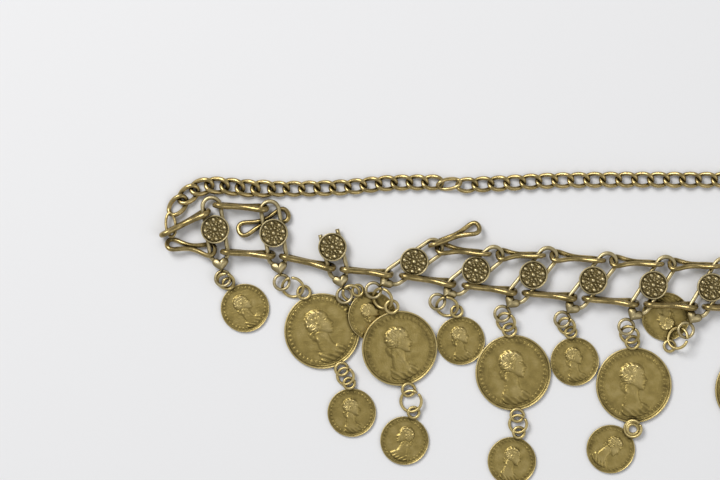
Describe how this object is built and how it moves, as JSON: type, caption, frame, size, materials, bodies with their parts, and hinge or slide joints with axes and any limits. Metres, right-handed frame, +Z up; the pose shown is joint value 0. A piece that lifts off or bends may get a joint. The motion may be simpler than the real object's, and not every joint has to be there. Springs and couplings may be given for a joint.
{
  "type": "metal coin belt",
  "caption": "Closed metal coin belt lying flat: cast rungs joined by pinched links, hanging coins and a curb chain.",
  "frame": {"origin": "middle of the belt's box, on the surface that it lies on", "axes": "+X along the belt, towards the end that closes; +Y from the coins towards the chain; +Z up"},
  "size_m": [0.3844, 0.1514, 0.0089],
  "materials": {
    "cast_brass": "cast antique brass, dark in the recesses and worn bright on the high edges",
    "wire_brass": "antique brass wire, polished along its top",
    "coin_brass": "struck antique brass, matt and brown, with worn relief"
  },
  "bodies": {
    "root": {"chain_end": "wire_brass", "chain_left": "wire_brass", "chain_right": "wire_brass", "closing_ring": "wire_brass", "end_link": "wire_brass", "joining_ring": "wire_brass", "lower_link_01": "wire_brass", "lower_link_02": "wire_brass", "lower_link_03": "wire_brass", "lower_link_04": "wire_brass", "lower_link_05": "wire_brass", "lower_link_06": "wire_brass", "lower_link_07": "wire_brass", "lower_link_08": "wire_brass", "lower_link_09": "wire_brass", "lower_link_10": "wire_brass", "lower_link_11": "wire_brass", "lower_link_12": "wire_brass", "lower_link_13": "wire_brass", "lower_link_14": "wire_brass", "pendant_01": "coin_brass", "pendant_02": "coin_brass", "pendant_03": "coin_brass", "pendant_04": "coin_brass", "pendant_05": "coin_brass", "pendant_06": "coin_brass", "pendant_07": "coin_brass", "pendant_08": "coin_brass", "pendant_09": "coin_brass", "pendant_10": "coin_brass", "pendant_11": "coin_brass", "pendant_12": "coin_brass", "pendant_13": "coin_brass", "rung_01": "cast_brass", "rung_02": "cast_brass", "rung_03": "cast_brass", "rung_04": "cast_brass", "rung_05": "cast_brass", "rung_06": "cast_brass", "rung_07": "cast_brass", "rung_08": "cast_brass", "rung_09": "cast_brass", "rung_10": "cast_brass", "rung_11": "cast_brass", "rung_12": "cast_brass", "rung_13": "cast_brass", "upper_link_01": "wire_brass", "upper_link_02": "wire_brass", "upper_link_03": "wire_brass", "upper_link_04": "wire_brass", "upper_link_05": "wire_brass", "upper_link_06": "wire_brass", "upper_link_07": "wire_brass", "upper_link_08": "wire_brass", "upper_link_09": "wire_brass", "upper_link_10": "wire_brass", "upper_link_11": "wire_brass", "upper_link_12": "wire_brass", "upper_link_13": "wire_brass", "upper_link_14": "wire_brass"}
  },
  "joints": []
}
